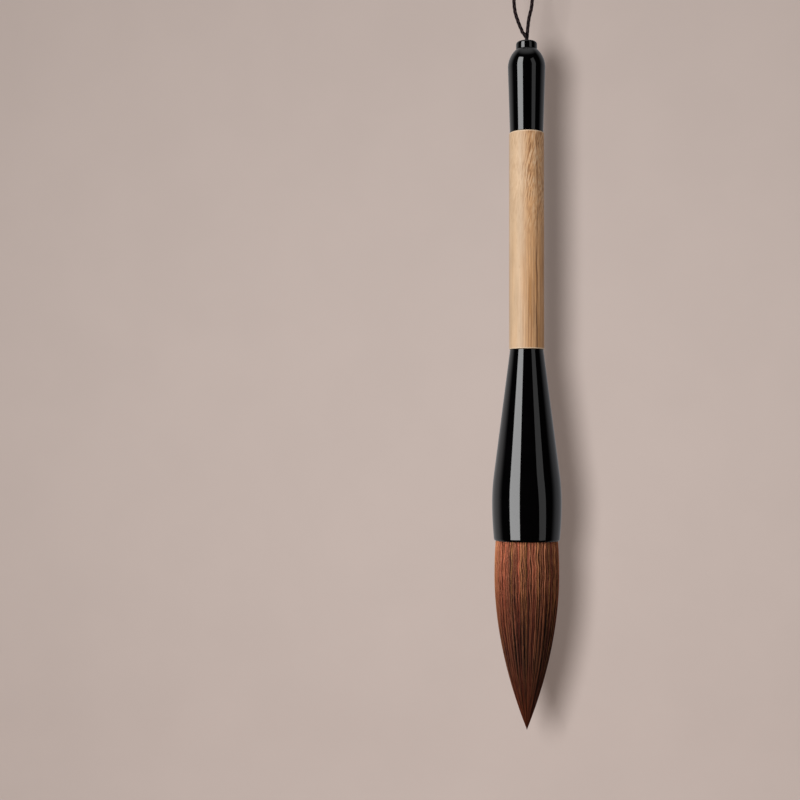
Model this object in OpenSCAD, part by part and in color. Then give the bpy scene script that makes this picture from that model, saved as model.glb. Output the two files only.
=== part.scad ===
// A large calligraphy brush that hangs by its cord loop, tip down.
// The origin is the inner top of the loop, where a peg holds it. Everything hangs along -Z.

/* [Handle] */
// Length of the handle, from the knob's top to the ferrule's mouth
handle_len = 192; // [188:1:200]
// Length of bare wood between the cap and the ferrule
grip_len = 83.5; // [78:0.5:86]
// Diameter of the bare wood
grip_d = 13.4; // [13:0.1:14]
// Diameter of the wood's tenon at each end
tenon_d = 9; // [7:0.5:10]
// Length of each tenon
tenon_len = 14; // [8:1:15]
// Bevel on the shoulders of the bare wood
shoulder_bevel = 0.4; // [0.2:0.1:0.6]

/* [Tail] */
// Diameter of the knob at the tail
knob_d = 8.1; // [7.6:0.1:8.4]
// Height of the knob above the cap
knob_h = 3.2; // [2.6:0.1:3.8]
// Diameter of the knob's spigot in the cap
spigot_d = 5.2; // [4.8:0.1:6]
// Length of the spigot
spigot_len = 6; // [4:0.5:7]
// Diameter of the cord hole
cord_hole_d = 3.2; // [3.2:0.1:3.6]
// Diameter of the cap where it meets the wood
cap_end_d = 12.8; // [12.4:0.1:13]
// Diameter of the cap where its dome starts
cap_d = 14.4; // [14:0.1:15]
// Radius of the dome's arc
dome_r = 9.3; // [9:0.1:10]
// Height of the dome
dome_h = 6.8; // [6:0.1:7]

/* [Ferrule] */
// Length of the ferrule
ferrule_len = 73; // [70:0.5:76]
// Diameter of the ferrule where it meets the wood
ferrule_neck_d = 12.8; // [12.4:0.1:13]
// Largest diameter of the ferrule
ferrule_d = 26.5; // [26:0.1:27]
// Height of the largest diameter above the mouth
bell_height = 14.5; // [12:0.5:17]
// Outer diameter of the lip
lip_d = 25; // [24.8:0.1:25.4]
// Diameter of the socket that holds the hair
socket_d = 22; // [21:0.1:22.4]
// Depth of the socket
socket_depth = 19; // [17:1:24]

/* [Tuft] */
// Length of the hair outside the ferrule
tuft_len = 72; // [66:1:78]
// Largest diameter of the hair
belly_d = 24.6; // [24.2:0.1:24.8]
// Depth of the largest diameter below the mouth
belly_depth = 13; // [12:1:15]
// Diameter of the hair at the mouth
tuft_mouth_d = 23.8; // [23.6:0.1:23.9]
// Depth of the bend's axis below the mouth
bend_depth = 16; // [15:0.5:18]
// Angle that the hair may bend to each side
bend_angle = 50; // [30:1:50]
// Thickness of the cover hair
cover_t = 1.6; // [1:0.1:2.5]
// Diameter of the core hair's upper part
core_d = 10.4; // [8:0.2:12]

/* [Cord] */
// Diameter of the cord
cord_d = 1.4; // [1:0.1:1.4]

/* [Hidden] */
$fn = 72;

// Heights along the brush
loop_rise = 62;
knob_top_z = -loop_rise;
cap_top_z = knob_top_z - knob_h;
cap_len = handle_len - knob_h - grip_len - ferrule_len;
cap_foot_z = cap_top_z - cap_len;
mouth_z = knob_top_z - handle_len;

// Fits and small sizes
slip = 0.05;
over = 1;
knob_round = 1;
hole_round = 0.5;
chamber_len = 10;
edge_bevel = 0.25;
lip_round = 0.35;
flare_d = 24;
flare_depth = 4;
curve_steps = 10;

// Hair inside the socket
butt_gap = 0.2;
butt_len = 16;
groove_depth = 1;
thread_d = 0.9;
thread_turns = 4;
thread_height = 8;
resin_t = 1.8;
glue_t = 0.4;
glue_low = 5;
glue_len = 9;

// The bend: a fixed cup and a moving dome, both round the bend's axis
taper_power = 1.9;
bend_gap = 0.3;
rim_rise = belly_d / 2 * tan(bend_angle / 2);
cup_r = norm([belly_d / 2, rim_rise]);
dome_top_r = cup_r - bend_gap;
rim_depth = bend_depth - rim_rise;
cover_end = 60;
padding_end = 44;
padding_start = 36;
depth_step = 4;

// Route of the cord, [x, y, height above the knob's top]
hinge_height = 4;
strand_sides = 8;
left_neck = [[0.3, -0.7, -13], [0.3, -0.7, -9], [0.3, -0.7, -5], [0.3, -0.7, -1], [0.2, -0.7, 0.4],
    [-0.1, -0.72, 1.4], [-0.55, -0.65, 2.3], [-1, -0.4, 3], [-1.35, -0.12, 3.5], [-1.62, 0, 4]];
right_neck = [[-0.1, 0.7, -13], [-0.1, 0.7, -9], [-0.1, 0.7, -5], [-0.1, 0.7, -1], [-0.05, 0.7, 0.4],
    [0.1, 0.72, 1.4], [0.2, 0.65, 2.3], [0.25, 0.4, 3], [0.3, 0.12, 3.5], [0.35, 0, 4]];
loop_left = [[-1.9, 0, 4.7], [-2.1, 0, 5.2], [-2.7, 0, 6.6], [-3.25, 0, 8.1], [-3.8, 0, 9.7],
    [-4.25, 0, 11.2], [-4.55, 0, 12.8], [-4.75, 0, 14.6], [-4.85, 0, 17.5], [-4.85, 0, 22],
    [-4.75, 0, 28], [-4.55, 0, 34], [-4.3, 0, 40], [-4, 0, 46], [-3.75, 0, 52], [-3.6, 0, 57]];
loop_top = [[-3.55, 0, 59.5], [-3.1, 0, 61], [-1.8, 0, 62.2], [0, 0, 62.7], [1.8, 0, 62.2],
    [3.1, 0, 61], [3.55, 0, 59.5]];
loop_right = [[3.6, 0, 57], [3.6, 0, 52], [3.5, 0, 46], [3.35, 0, 40], [3.15, 0, 34],
    [2.9, 0, 28], [2.6, 0, 22], [2.3, 0, 17.5], [2.05, 0, 14.6], [1.8, 0, 12.8], [1.4, 0, 11.2],
    [1.05, 0, 9.7], [0.78, 0, 8.1], [0.6, 0, 6.6], [0.48, 0, 5.5], [0.4, 0, 4.75]];

// Points of an arc from angle a to angle b
function arc(centre, r, a, b, steps = curve_steps) =
    [for (i = [0 : steps]) let (t = a + (b - a) * i / steps) centre + r * [cos(t), sin(t)]];

// A point of a smooth curve through four neighbours, at share t between b and c
function between(a, b, c, d, t) =
    0.5 * (2 * b + (c - a) * t + (2 * a - 5 * b + 4 * c - d) * t * t
        + (3 * b - a - 3 * c + d) * t * t * t);

// A route with one more point in each span
function smooth(route) = let (last = len(route) - 1) [
    for (i = [0 : last - 1])
        let (a = route[max(i - 1, 0)], d = route[min(i + 2, last)])
            for (t = [0, 0.5]) between(a, route[i], route[i + 1], d, t),
    route[last]];

function unit(v) = v / norm(v);
function heading(route, i) =
    unit(route[min(i + 1, len(route) - 1)] - route[max(i - 1, 0)]);

// One ring of a tube, square to its route
function ring(centre, along, r) =
    let (side = unit(cross([0, 1, 0], along)), front = cross(along, side))
        [for (k = [0 : strand_sides - 1])
            let (a = 360 * k / strand_sides) centre + r * (cos(a) * side + sin(a) * front)];

// Sweeps a tube along a route. A round end closes it with a half sphere.
module tube(route, r, round_end = false) {
    last = len(route) - 1;
    along = heading(route, last);
    flat_rings = [for (i = [0 : last]) ring(route[i], heading(route, i), r)];
    cap_rings = round_end
        ? [for (a = [25, 50, 75]) ring(route[last] + r * sin(a) * along, along, r * cos(a))]
        : [];
    rings = concat(flat_rings, cap_rings);
    n = strand_sides;
    walls = [for (i = [0 : len(rings) - 2], k = [0 : n - 1])
        let (m = (k + 1) % n) each [
            [i * n + k, i * n + m, (i + 1) * n + k],
            [i * n + m, (i + 1) * n + m, (i + 1) * n + k]]];
    start_face = [for (k = [n - 1 : -1 : 0]) k];
    end_face = [for (k = [0 : n - 1]) (len(rings) - 1) * n + k];
    polyhedron([for (r = rings) each r], concat([start_face], walls, [end_face]));
}

// Places what is drawn from the knob's top, or from the mouth
module from_knob() { translate([0, 0, knob_top_z]) children(); }
module from_mouth() { translate([0, 0, mouth_z]) children(); }

// Radius of the hair at a depth below the mouth
function tuft_r(depth) = depth < belly_depth
    ? belly_d / 2 - (belly_d - tuft_mouth_d) / 2 * pow(1 - depth / belly_depth, 2)
    : belly_d / 2 * (1 - pow((depth - belly_depth) / (tuft_len - belly_depth), taper_power));

// Outline of the hair, or of a layer inside it, between two depths. Layers that meet share its points.
function tuft_side(from, to, inset = 0) =
    let (low = min(from, to), high = max(from, to), first = depth_step * ceil(low / depth_step),
        inner = [for (w = [first : depth_step : high]) if (w > low && w < high) w],
        last = len(inner) - 1,
        ordered = from < to ? inner : [for (i = [last : -1 : 0]) inner[i]])
            [for (w = concat([from], ordered, [to])) [tuft_r(w) - inset, -w]];

// Height of the dome or cup at a radius, measured from the mouth
function bend_z(r, sphere_r) = -bend_depth + sqrt(sphere_r * sphere_r - r * r);
// Outline of the dome or cup between two radii
function bend_side(r_from, r_to, sphere_r) = arc([0, -bend_depth], sphere_r,
    acos(r_from / sphere_r), acos(r_to / sphere_r));

module tail_knob() color("#0b0b0c") from_knob() difference() {
    rotate_extrude() polygon(concat(
        [[0, -knob_h - spigot_len], [spigot_d / 2 - slip, -knob_h - spigot_len],
            [spigot_d / 2 - slip, -knob_h], [knob_d / 2 - edge_bevel, -knob_h],
            [knob_d / 2, -knob_h + edge_bevel]],
        arc([knob_d / 2 - knob_round, -knob_round], knob_round, 0, 90),
        [[0, 0]]));
    translate([0, 0, -knob_h - spigot_len - over])
        cylinder(d = cord_hole_d, h = knob_h + spigot_len + 2 * over);
    // rounded edge of the cord hole
    rotate_extrude() polygon(concat([[0, -hole_round], [0, over], [cord_hole_d / 2 + hole_round, over]],
        arc([cord_hole_d / 2 + hole_round, -hole_round], hole_round, 90, 180)));
}

module tail_cap() color("#0b0b0c") translate([0, 0, cap_foot_z]) {
    dome_foot = cap_len - dome_h;
    dome_end = asin(dome_h / dome_r);
    difference() {
        rotate_extrude() polygon(concat(
            [[0, 0], [cap_end_d / 2 - edge_bevel, 0], [cap_end_d / 2, edge_bevel]],
            arc([cap_d / 2 - dome_r, dome_foot], dome_r, 0, dome_end),
            [[0, cap_len]]));
        // socket for the tenon, with a chamber for the knot above it
        translate([0, 0, -over]) cylinder(d = tenon_d, h = tenon_len + chamber_len + over);
        cylinder(d = spigot_d, h = cap_len + over);
    }
}

module shaft() color("#c99a68") translate([0, 0, cap_foot_z]) {
    r = grip_d / 2;
    tenon_r = tenon_d / 2 - slip;
    reach = tenon_len - slip;
    rotate_extrude() polygon([[0, reach], [tenon_r - edge_bevel, reach], [tenon_r, reach - edge_bevel],
        [tenon_r, 0], [r - shoulder_bevel, 0], [r, -shoulder_bevel],
        [r, shoulder_bevel - grip_len], [r - shoulder_bevel, -grip_len],
        [tenon_r, -grip_len], [tenon_r, edge_bevel - grip_len - reach],
        [tenon_r - edge_bevel, -grip_len - reach], [0, -grip_len - reach]]);
}

// Outline of the ferrule: a straight cone that runs into a long arc, and a flatter arc to the lip
module ferrule() color("#0b0b0c") from_mouth() {
    neck_r = ferrule_neck_d / 2;
    bell_r = ferrule_d / 2;
    foot_r = lip_d / 2;
    cone_h = ferrule_len - bell_height;
    // the upper arc's radius makes it meet the cone without a corner
    arc_h = 10.5;
    arc_r = arc_h * (cone_h - arc_h / 2) / (bell_r - neck_r);
    arc_turn = asin(arc_h / arc_r);
    lip_arc_r = bell_height * bell_height / (2 * (bell_r - foot_r));
    lip_turn = asin((bell_height - lip_round) / lip_arc_r);
    difference() {
        rotate_extrude() polygon(concat(
            [[0, ferrule_len], [neck_r - edge_bevel, ferrule_len], [neck_r, ferrule_len - edge_bevel]],
            arc([bell_r - arc_r, bell_height], arc_r, arc_turn, 0),
            arc([bell_r - lip_arc_r, bell_height], lip_arc_r, 0, -lip_turn),
            arc([foot_r - lip_round, lip_round], lip_round, -15, -90, 4),
            [[0, 0]]));
        translate([0, 0, ferrule_len - tenon_len]) cylinder(d = tenon_d, h = tenon_len + over);
        translate([0, 0, -over]) cylinder(d = socket_d, h = socket_depth + over);
        // flared mouth that the hair swells into
        cylinder(d1 = flare_d, d2 = socket_d, h = flare_depth);
    }
}

module hang_loop() color("#1e1513") from_knob()
    tube(smooth(concat(loop_left, loop_top, loop_right)), cord_d / 2);

module cord_neck() color("#1e1513") from_knob() {
    tube(smooth(left_neck), cord_d / 2, round_end = true);
    tube(smooth(right_neck), cord_d / 2, round_end = true);
}

// The knot that stops the cord under the chamber's roof
module cord_knot() color("#1e1513") from_knob() {
    knot_r = 2;
    knot_bulge = 1.6;
    knot_top = -knob_h - cap_len + tenon_len + chamber_len - slip;
    translate([0, 0, knot_top - knot_bulge]) rotate_extrude() {
        square_r = knot_r;
        translate([square_r, 0]) circle(r = knot_bulge, $fn = 32);
        translate([0, -knot_bulge]) square([square_r, 2 * knot_bulge]);
    }
}

// Bound root of the hair in the socket, and the hair that shows above the bend
module hair_root() color("#8a4a30") from_mouth() difference() {
    butt_r = socket_d / 2 - glue_t;
    rotate_extrude() polygon(concat(
        [[0, butt_len], [butt_r - butt_gap, butt_len]],
        [[butt_r, butt_len - butt_gap], [butt_r, thread_height + thread_turns * thread_d / 2],
            [butt_r - groove_depth, thread_height + thread_turns * thread_d / 2],
            [butt_r - groove_depth, thread_height - thread_turns * thread_d / 2],
            [butt_r, thread_height - thread_turns * thread_d / 2], [butt_r, flare_depth]],
        tuft_side(0, rim_depth),
        bend_side(belly_d / 2, 0, cup_r)));
}

module binding_thread() color("#b9a27c") from_mouth() {
    wrap_r = socket_d / 2 - glue_t - groove_depth + thread_d / 2;
    for (i = [0 : thread_turns - 1])
        translate([0, 0, thread_height + (i - (thread_turns - 1) / 2) * thread_d])
            rotate_extrude() translate([wrap_r, 0]) circle(d = thread_d - slip, $fn = 24);
}

module resin_seal() color("#6b4a22") from_mouth() translate([0, 0, butt_len])
    cylinder(r = socket_d / 2 - glue_t - butt_gap, h = resin_t);

module socket_glue() color("#cdbb93") from_mouth() translate([0, 0, glue_low]) difference() {
    cylinder(d = socket_d, h = glue_len);
    translate([0, 0, -over]) cylinder(r = socket_d / 2 - glue_t, h = glue_len + 2 * over);
}

// Outer layer of hair, a shell from the bend almost to the tip
module cover_hair() color("#7d3f28") from_mouth() rotate_extrude() polygon(concat(
    tuft_side(rim_depth + bend_gap, cover_end),
    tuft_side(cover_end, rim_depth + bend_gap, cover_t),
    bend_side(belly_d / 2 - cover_t, belly_d / 2 - 0.01, dome_top_r)));

// Short hair that fills the belly between the core and the cover
module padding_hair() color("#9a6a48") from_mouth() {
    core_r = core_d / 2;
    rotate_extrude() polygon(concat(
        [[core_r, bend_z(core_r, dome_top_r)], [core_r, -padding_start]],
        tuft_side(padding_end, rim_depth + bend_gap, cover_t),
        bend_side(belly_d / 2 - cover_t, core_r, dome_top_r)));
}

// Long stiff hair in the middle, which widens below the padding
module core_hair() color("#5a2c1c") from_mouth() {
    core_r = core_d / 2;
    rotate_extrude() polygon(concat(
        [[0, -cover_end], [tuft_r(cover_end) - cover_t, -cover_end]],
        tuft_side(cover_end, padding_end, cover_t),
        [[core_r, -padding_start]],
        bend_side(core_r, 0, dome_top_r)));
}

// Point of the brush, where only the longest hairs reach
module tip_hair() color("#3d1c12") from_mouth()
    rotate_extrude() polygon(concat(tuft_side(cover_end, tuft_len), [[0, -cover_end]]));

tail_knob();
tail_cap();
shaft();
ferrule();
hang_loop();
cord_neck();
cord_knot();
hair_root();
binding_thread();
resin_seal();
socket_glue();
cover_hair();
padding_hair();
core_hair();
tip_hair();
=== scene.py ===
import math

import bmesh
import bpy
import numpy as np
from mathutils import Matrix, Vector


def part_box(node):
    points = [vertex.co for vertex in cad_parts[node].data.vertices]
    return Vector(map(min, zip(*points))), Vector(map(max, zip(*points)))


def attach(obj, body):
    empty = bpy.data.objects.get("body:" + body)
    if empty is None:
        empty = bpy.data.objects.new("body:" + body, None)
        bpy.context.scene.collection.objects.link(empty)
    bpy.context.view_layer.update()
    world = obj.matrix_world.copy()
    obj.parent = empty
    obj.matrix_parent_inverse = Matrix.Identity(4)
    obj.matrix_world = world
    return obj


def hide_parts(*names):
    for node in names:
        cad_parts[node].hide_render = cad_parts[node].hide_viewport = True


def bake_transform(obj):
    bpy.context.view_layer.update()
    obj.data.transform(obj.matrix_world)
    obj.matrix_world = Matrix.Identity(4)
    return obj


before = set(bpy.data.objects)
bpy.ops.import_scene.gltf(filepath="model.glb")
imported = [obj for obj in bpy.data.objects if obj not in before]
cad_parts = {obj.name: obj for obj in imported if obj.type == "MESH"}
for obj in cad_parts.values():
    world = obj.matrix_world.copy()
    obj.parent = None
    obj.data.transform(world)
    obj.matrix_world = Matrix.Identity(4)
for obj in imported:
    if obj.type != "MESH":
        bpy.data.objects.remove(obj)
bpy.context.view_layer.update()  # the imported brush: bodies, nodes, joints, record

scene = bpy.context.scene
scene.view_settings.view_transform = "Standard"

mm = 0.001

# heights of the brush, from the frame
knobLow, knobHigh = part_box("tail_knob")
capLow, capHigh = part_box("tail_cap")
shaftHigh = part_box("shaft")[1]
ferruleLow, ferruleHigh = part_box("ferrule")
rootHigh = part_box("hair_root")[1]
threadLow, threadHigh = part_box("binding_thread")
knotLow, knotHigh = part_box("cord_knot")
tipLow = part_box("tip_hair")[0]
knobTop = knobHigh.z
mouth = ferruleLow.z
tuftLength = mouth - tipLow.z


# The camera stands a little over the ferrule's mouth and looks slightly up

cameraSet = {
    "distance": 0.516,  # in front of the brush's axis
    "aboveMouth": 0.038,  # height over the ferrule's mouth
    "aside": -0.0028,
    "lens": 60.35,
    "pitch": 1.73,  # degrees up
    "yaw": 5.09,  # degrees to the left
    "roll": 0.13,
}


def addObject(name, data):
    made = bpy.data.objects.new(name, data)
    scene.collection.objects.link(made)
    return made


def placeCamera(s):
    camData = bpy.data.cameras.new("frontCamera")
    camData.lens = s["lens"]
    camData.clip_start = 0.01
    camData.clip_end = 20
    camera = addObject("frontCamera", camData)
    turnLeft = Matrix.Rotation(math.radians(s["yaw"]), 4, "Z")
    lookUp = Matrix.Rotation(math.radians(90 + s["pitch"]), 4, "X")
    lean = Matrix.Rotation(math.radians(s["roll"]), 4, "Z")
    place = Matrix.Translation((s["aside"], -s["distance"], mouth + s["aboveMouth"]))
    camera.matrix_world = place @ turnLeft @ lookUp @ lean
    scene.camera = camera
    return camera


camera = placeCamera(cameraSet)
print("camera placed")


# Helpers for shader nodes. A Wire is an output of a node, and sums with it add Math nodes

def sumOf(operation, swapped=False):
    def made(self, other):
        return addMaths(self.tree, operation, (other, self) if swapped else (self, other))
    return made


class Wire:
    def __init__(self, socket):
        self.socket = socket
        self.tree = socket.id_data

    def maths(self, operation, *others, clamp=False):
        return addMaths(self.tree, operation, (self, *others), clamp)

    __add__ = sumOf("ADD")
    __mul__ = sumOf("MULTIPLY")
    __sub__ = sumOf("SUBTRACT")
    __rsub__ = sumOf("SUBTRACT", swapped=True)
    __truediv__ = sumOf("DIVIDE")
    __rtruediv__ = sumOf("DIVIDE", swapped=True)
    __pow__ = sumOf("POWER")


def join(inputs, values):
    # links the wires to a node's inputs and sets the plain values
    for key, value in values.items():
        if isinstance(value, Wire):
            value.tree.links.new(value.socket, inputs[key])
        else:
            inputs[key].default_value = (*value, 1) if inputs[key].type == "RGBA" else value


def addNode(tree, kind, inputs=None, **settings):
    made = tree.nodes.new("ShaderNode" + kind)
    made.location = (220 * (len(tree.nodes) % 8), -260 * (len(tree.nodes) // 8))
    for key, value in settings.items():
        setattr(made, key, value)
    join(made.inputs, inputs or {})
    return made


def output(node, key=0):
    return Wire(node.outputs[key])


def wires(sockets):
    return {socket.name: Wire(socket) for socket in sockets}


def addMaths(tree, operation, values, clamp=False):
    return output(addNode(tree, "Math", dict(enumerate(values)), operation=operation, use_clamp=clamp))


def stretch(vector, x, y, z):
    factors = combine(vector.tree, x, y, z)
    return output(addNode(vector.tree, "VectorMath", {0: vector, 1: factors}, operation="MULTIPLY"))


def combine(tree, x, y, z):
    return output(addNode(tree, "CombineXYZ", {"X": x, "Y": y, "Z": z}))


def split(vector):
    return [Wire(part) for part in addNode(vector.tree, "SeparateXYZ", {0: vector}).outputs]


def noise(vector, sizes=None, scale=1.0, detail=2.0, roughness=0.5, distortion=0.0):
    if sizes:
        vector = stretch(vector, *sizes)
    return output(addNode(vector.tree, "TexNoise", {
        "Vector": vector, "Scale": scale, "Detail": detail, "Roughness": roughness,
        "Distortion": distortion}), "Fac")


def smooth(value, low, high, toLow=0.0, toHigh=1.0):
    return output(addNode(value.tree, "MapRange", {
        "Value": value, "From Min": low, "From Max": high, "To Min": toLow, "To Max": toHigh},
        interpolation_type="SMOOTHSTEP"), "Result")


def mix(factor, a, b, mode="MIX"):
    tree = next(value.tree for value in (factor, a, b) if isinstance(value, Wire))
    return output(addNode(tree, "Mix", {0: factor, 6: a, 7: b}, data_type="RGBA", blend_type=mode), 2)


def tint(a, b):
    return mix(1.0, a, b, "MULTIPLY")


def colourRamp(factor, stops):
    made = addNode(factor.tree, "ValToRGB", {"Fac": factor})
    ramp = made.color_ramp
    while len(ramp.elements) < len(stops):
        ramp.elements.new(0.5)
    for element, (position, colour) in zip(ramp.elements, stops):
        element.position = position
        element.color = (*colour, 1)
    return output(made, "Color")


def stored(tree, name):
    return output(addNode(tree, "Attribute", attribute_name=name), "Fac")


def newGroup(name, numbers, results):
    # a shared effect takes a Vector and some numbers, and gives numbers back
    group = bpy.data.node_groups.new(name, "ShaderNodeTree")
    group.interface.new_socket("Vector", in_out="INPUT", socket_type="NodeSocketVector")
    for label, value in numbers.items():
        socket = group.interface.new_socket(label, in_out="INPUT", socket_type="NodeSocketFloat")
        socket.default_value = value
    for label in results:
        group.interface.new_socket(label, in_out="OUTPUT", socket_type="NodeSocketFloat")
    start = group.nodes.new("NodeGroupInput")
    end = group.nodes.new("NodeGroupOutput")
    end.location = (1900, 0)
    return group, wires(start.outputs), end.inputs


def useGroup(group, **inputs):
    made = addNode(inputs["Vector"].tree, "Group", inputs, node_tree=group)
    return wires(made.outputs)


def newMaterial(name, viewColour, **constants):
    material = bpy.data.materials.new(name)
    material.use_nodes = True
    material.diffuse_color = (*viewColour, 1)
    tree = material.node_tree
    shader = tree.nodes["Principled BSDF"]
    join(shader.inputs, constants)
    return material, tree, shader


def objectPlace(tree):
    # object coordinates in millimetres, so that sizes below are millimetres too
    return stretch(output(addNode(tree, "TexCoord"), "Object"), 1000, 1000, 1000)


def bumpFrom(height, distance):
    return output(addNode(height.tree, "Bump", {"Height": height, "Distance": distance * mm}),
                  "Normal")


# Effects shared by several materials

def makeFibreGrain():
    # long fibres along Z: fine streaks, short dark ticks, and a height for relief
    group, given, out = newGroup("fibreGrain", {"Width": 0.3, "Length": 12.0, "Ticks": 0.3},
                                 ("Streak", "Tick", "Height"))
    across = 1.0 / given["Width"]
    place = stretch(given["Vector"], across, across, 1.0 / given["Length"])
    broad = noise(place, detail=3.0, roughness=0.6, distortion=0.15)
    fine = noise(place, scale=3.1, roughness=0.55)
    streak = smooth(fine * 0.45 + broad * 0.55, 0.34, 0.66)
    edge = 0.86 - given["Ticks"] * 0.3
    tick = smooth(noise(place, (2.2, 2.2, 7.0), detail=1.0), edge, edge + 0.05)
    join(out, {"Streak": streak, "Tick": tick, "Height": streak - tick * 0.9})
    return group


def makePatchyTone():
    # slow change of tone over a surface, around 1
    group, given, out = newGroup("patchyTone", {"Size": 8.0, "Amount": 0.1}, ("Tone", "Mask"))
    slow = noise(given["Vector"], scale=1.0 / given["Size"], detail=3.0, roughness=0.55)
    mask = smooth(slow, 0.3, 0.7)
    join(out, {"Tone": (mask - 0.5) * given["Amount"] * 2.0 + 1.0, "Mask": mask})
    return group


def makeHandling():
    # traces of use: settled dust specks, finger smudges that dull the gloss, hairline rubs
    group, given, out = newGroup("handling", {"Gloss": 0.05, "Smudge": 0.05, "Dust": 0.3},
                                 ("Roughness", "Dust", "Height"))
    place = given["Vector"]
    smear = noise(place, (0.16, 0.16, 0.07), detail=4.0, roughness=0.6, distortion=0.8)
    rubs = smooth(noise(place, (6.0, 6.0, 0.25)), 0.62, 0.72)
    specks = addNode(group, "TexVoronoi", {"Vector": place, "Scale": 0.9})
    near = smooth(output(specks, "Distance"), 0.02, 0.055, 1.0, 0.0)
    lot = output(addNode(group, "SeparateColor", {"Color": output(specks, "Color")}))
    dust = near * lot.maths("LESS_THAN", given["Dust"])
    rough = smooth(smear, 0.46, 0.7) * given["Smudge"] + given["Gloss"]
    rough = rubs * (given["Smudge"] * 0.35) + rough
    join(out, {"Roughness": dust.maths("MULTIPLY_ADD", 0.3, rough, clamp=True), "Dust": dust,
               "Height": dust * 0.6 + noise(place, scale=0.55, roughness=0.4)})
    return group


def makeEdgeWear():
    # where a ridge is rubbed: high on convex edges, broken up so that it is never a clean line
    group, given, out = newGroup("edgeWear", {"Amount": 0.5, "Patch": 1.5}, ("Wear",))
    ridge = output(addNode(group, "NewGeometry"), "Pointiness")
    broken = noise(given["Vector"], scale=1.0 / given["Patch"], detail=3.0)
    edge = smooth(ridge, 0.53, 0.62) * smooth(broken, 0.4, 0.62)
    join(out, {"Wear": edge.maths("MULTIPLY", given["Amount"], clamp=True)})
    return group


fibreGrain = makeFibreGrain()
patchyTone = makePatchyTone()
handling = makeHandling()
edgeWear = makeEdgeWear()
print("shared effects built")


# Materials: lacquer, wood, hair, cord, linen thread, set rosin and glue

lacquerLook = {
    "black": (0.0009, 0.0008, 0.0009),
    "rubbed": (0.030, 0.022, 0.018),  # thin lacquer over the wood at a rubbed edge
    "dustColour": (0.16, 0.15, 0.14),
    "gloss": 0.045,  # roughness where it is clean
    "smudge": 0.035,
    "dust": 0.10,  # share of places that hold a speck
    "peel": 0.006,  # millimetres of ripple in the film
}


def makeLacquer(s):
    material, tree, shader = newMaterial(
        "blackLacquer", s["black"], **{"IOR": 1.5, "Coat Roughness": 0.03, "Coat IOR": 1.5})
    place = objectPlace(tree)
    marks = useGroup(handling, Vector=place, Gloss=s["gloss"], Smudge=s["smudge"], Dust=s["dust"])
    wear = useGroup(edgeWear, Vector=place, Amount=0.5, Patch=1.2)["Wear"]
    tone = useGroup(patchyTone, Vector=place, Size=9.0, Amount=0.2)["Tone"]
    worn = tint(mix(wear, s["black"], s["rubbed"]), tone)
    join(shader.inputs, {
        "Base Color": mix(marks["Dust"] * 0.5, worn, s["dustColour"]),
        "Roughness": marks["Roughness"],
        "Coat Weight": 0.5 - wear * 0.4,
        "Normal": bumpFrom(marks["Height"], s["peel"])})
    return material


woodLook = {
    "pale": (0.530, 0.370, 0.229),
    "warm": (0.600, 0.325, 0.146),
    "mid": (0.430, 0.254, 0.124),
    "dark": (0.230, 0.105, 0.038),
    "mark": (0.255, 0.120, 0.048),
    "orange": (0.420, 0.200, 0.064),
    "bevel": (0.68, 0.53, 0.37),  # end grain that shows on the bevels
    "line": (0.115, 0.048, 0.020),  # the long dark line on the right
    "pith": (-11.0, 10.0),  # millimetres from the axis to the middle of the rings
    "ringWidth": 1.35,
    "lineAt": 36.0,  # degrees round from the front
    "lines": 41.0,  # fine straight lines round the stick, low down
    "roughness": 0.42,
}


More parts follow.
